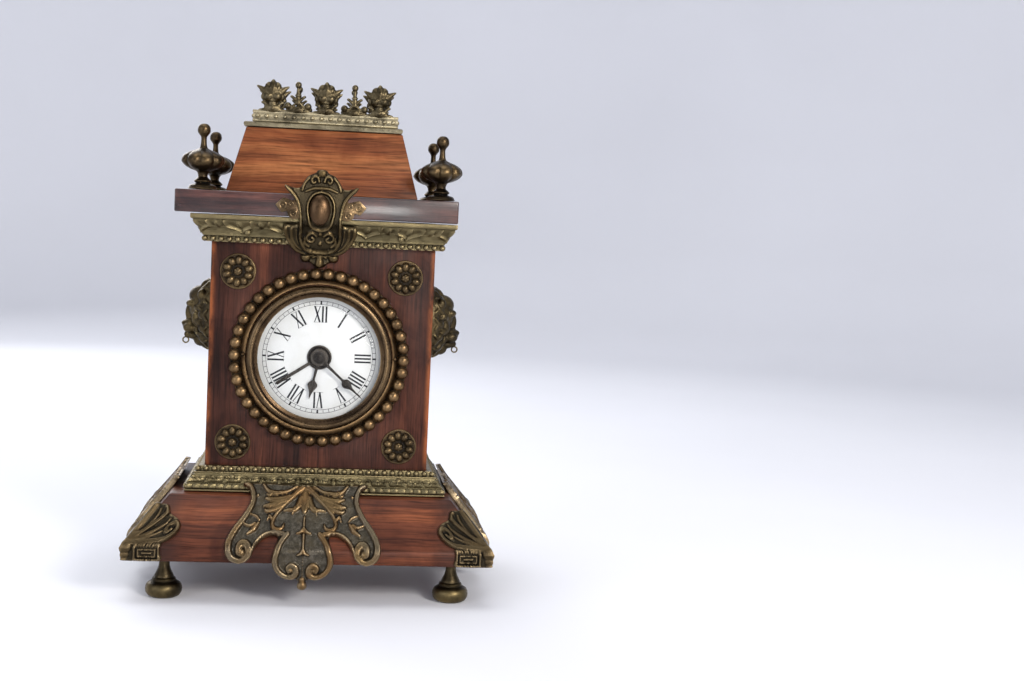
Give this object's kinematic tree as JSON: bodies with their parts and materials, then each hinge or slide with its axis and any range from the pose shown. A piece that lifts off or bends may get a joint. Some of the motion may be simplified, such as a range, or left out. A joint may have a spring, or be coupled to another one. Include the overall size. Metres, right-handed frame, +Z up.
{
  "type": "mantel clock",
  "caption": "Wooden mantel alarm clock with sloping plinth, bun feet, brass mouldings, round dial under glass, lion masks, urn finials and a hipped roof with a gallery.",
  "frame": {"origin": "on the ground, under the middle of the whole clock", "axes": "+Z up, the dial faces -Y, +X to the viewer's right"},
  "size_m": [0.1922, 0.144, 0.2726],
  "materials": {
    "stained_wood": "satin stained hardwood, vertical grain",
    "dark_wood": "polished dark stained hardwood",
    "roof_wood": "polished orange-brown hardwood",
    "cast_brass": "aged stamped brass, dark patina with bright wear",
    "pale_brass": "worn silvery-yellow brass",
    "bezel_brass": "dark brown bronze, polished",
    "gear_brass": "plain clock brass",
    "steel": "plain steel",
    "black_steel": "blackened steel",
    "enamel": "cool white dial",
    "clear_glass": "clear"
  },
  "bodies": {
    "case": {"plinth": "stained_wood", "front_panel": "stained_wood", "left_panel": "stained_wood", "right_panel": "stained_wood", "back_frame": "stained_wood", "cornice_board": "dark_wood", "roof_block": "roof_wood", "foot_front_left": "cast_brass", "foot_front_right": "cast_brass", "foot_back_left": "cast_brass", "foot_back_right": "cast_brass", "corner_mount_front_left": "cast_brass", "corner_mount_front_right": "cast_brass", "corner_mount_back_right": "cast_brass", "corner_mount_back_left": "cast_brass", "front_pendant": "cast_brass", "side_pendant_left": "cast_brass", "side_pendant_right": "cast_brass", "base_moulding": "cast_brass", "cornice_moulding": "cast_brass", "rosette_lower_left": "cast_brass", "rosette_lower_right": "cast_brass", "rosette_upper_left": "cast_brass", "rosette_upper_right": "cast_brass", "lion_mask_left": "cast_brass", "lion_mask_right": "cast_brass", "urn_finial_front_left": "cast_brass", "urn_finial_front_right": "cast_brass", "urn_finial_back_left": "cast_brass", "urn_finial_back_right": "cast_brass", "cartouche": "cast_brass", "bead_ring": "cast_brass", "gallery_tray": "pale_brass", "gallery_rail": "pale_brass", "cabochon": "pale_brass", "bezel": "bezel_brass", "dial_glass": "clear_glass", "dial": "enamel", "front_plate": "gear_brass", "back_plate": "gear_brass", "alarm_bell": "gear_brass", "door_hinge_lower": "gear_brass", "door_hinge_upper": "gear_brass"},
    "minute_work": {"centre_wheel": "gear_brass", "minute_hand": "black_steel", "hand_set_knob": "gear_brass"},
    "hour_pipe": {"hour_hand": "black_steel"},
    "alarm_pipe": {"alarm_hand": "black_steel"},
    "alarm_setter": {"alarm_set_knob": "gear_brass"},
    "time_spring": {"time_barrel": "gear_brass"},
    "alarm_spring": {"alarm_barrel": "gear_brass"},
    "third_arbor": {"third_wheel": "gear_brass"},
    "escape_arbor": {"escape_wheel": "gear_brass"},
    "balance": {"balance_wheel": "gear_brass"},
    "time_winder": {"time_key": "steel"},
    "alarm_winder": {"alarm_key": "steel"},
    "hammer": {"alarm_hammer": "steel"},
    "stop_lever": {"alarm_stop_lever": "steel"},
    "door": {"back_door": "stained_wood"},
    "door_button": {"turn_button": "gear_brass"}
  },
  "joints": [
    {"name": "minute_turn", "type": "hinge", "parent": "case", "child": "minute_work", "pos_m": [0.0011, 0.00075, 0.1258], "axis": [0, 1, 0], "continuous": true},
    {"name": "hour_turn", "type": "hinge", "parent": "case", "child": "hour_pipe", "pos_m": [0.0011, 0.00075, 0.1258], "axis": [0, 1, 0], "continuous": true},
    {"name": "time_spring_turn", "type": "hinge", "parent": "case", "child": "time_spring", "pos_m": [-0.0149, 0.00075, 0.1168], "axis": [0, 1, 0], "continuous": true},
    {"name": "third_turn", "type": "hinge", "parent": "case", "child": "third_arbor", "pos_m": [0.0131, 0.00075, 0.1338], "axis": [0, 1, 0], "continuous": true},
    {"name": "escape_turn", "type": "hinge", "parent": "case", "child": "escape_arbor", "pos_m": [0.0211, 0.00075, 0.1418], "axis": [0, 1, 0], "continuous": true},
    {"name": "alarm_set_turn", "type": "hinge", "parent": "case", "child": "alarm_setter", "pos_m": [-0.0149, 0.00075, 0.1398], "axis": [0, 1, 0], "continuous": true},
    {"name": "alarm_hand_turn", "type": "hinge", "parent": "case", "child": "alarm_pipe", "pos_m": [0.0011, 0.00075, 0.1258], "axis": [0, 1, 0], "continuous": true},
    {"name": "alarm_spring_turn", "type": "hinge", "parent": "case", "child": "alarm_spring", "pos_m": [0.0171, 0.00075, 0.1168], "axis": [0, 1, 0], "continuous": true},
    {"name": "balance_swing", "type": "hinge", "parent": "case", "child": "balance", "pos_m": [0.0051, 0.00075, 0.1468], "axis": [0, 1, 0], "range_deg": [-150, 150], "stiffness_Nm_per_rad": 0.00004},
    {"name": "time_key_turn", "type": "hinge", "parent": "case", "child": "time_winder", "pos_m": [-0.0149, 0.00075, 0.1168], "axis": [0, 1, 0], "continuous": true},
    {"name": "alarm_key_turn", "type": "hinge", "parent": "case", "child": "alarm_winder", "pos_m": [0.0171, 0.00075, 0.1168], "axis": [0, 1, 0], "continuous": true},
    {"name": "hammer_swing", "type": "hinge", "parent": "case", "child": "hammer", "pos_m": [0.0231, 0.00075, 0.104], "axis": [0, 1, 0], "range_deg": [0, 13], "stiffness_Nm_per_rad": 0.002, "springref_deg": -11.46},
    {"name": "stop_lever_turn", "type": "hinge", "parent": "case", "child": "stop_lever", "pos_m": [0.0031, 0.00075, 0.1543], "axis": [0, 1, 0], "range_deg": [0, 30]},
    {"name": "door_swing", "type": "hinge", "parent": "case", "child": "door", "pos_m": [0.04585, 0.03745, 0.126], "axis": [0, 0, -1], "range_deg": [0, 105]},
    {"name": "door_button_turn", "type": "hinge", "parent": "case", "child": "door_button", "pos_m": [-0.0467, 0.03675, 0.126], "axis": [0, 1, 0], "range_deg": [0, 90]}
  ],
  "couplings": [
    {"joint": "hour_turn", "follows": "minute_turn", "ratio": 0.083333},
    {"joint": "time_spring_turn", "follows": "minute_turn", "ratio": -0.25},
    {"joint": "third_turn", "follows": "minute_turn", "ratio": -3},
    {"joint": "escape_turn", "follows": "minute_turn", "ratio": 11.143},
    {"joint": "alarm_hand_turn", "follows": "alarm_set_turn", "ratio": -1}
  ]
}
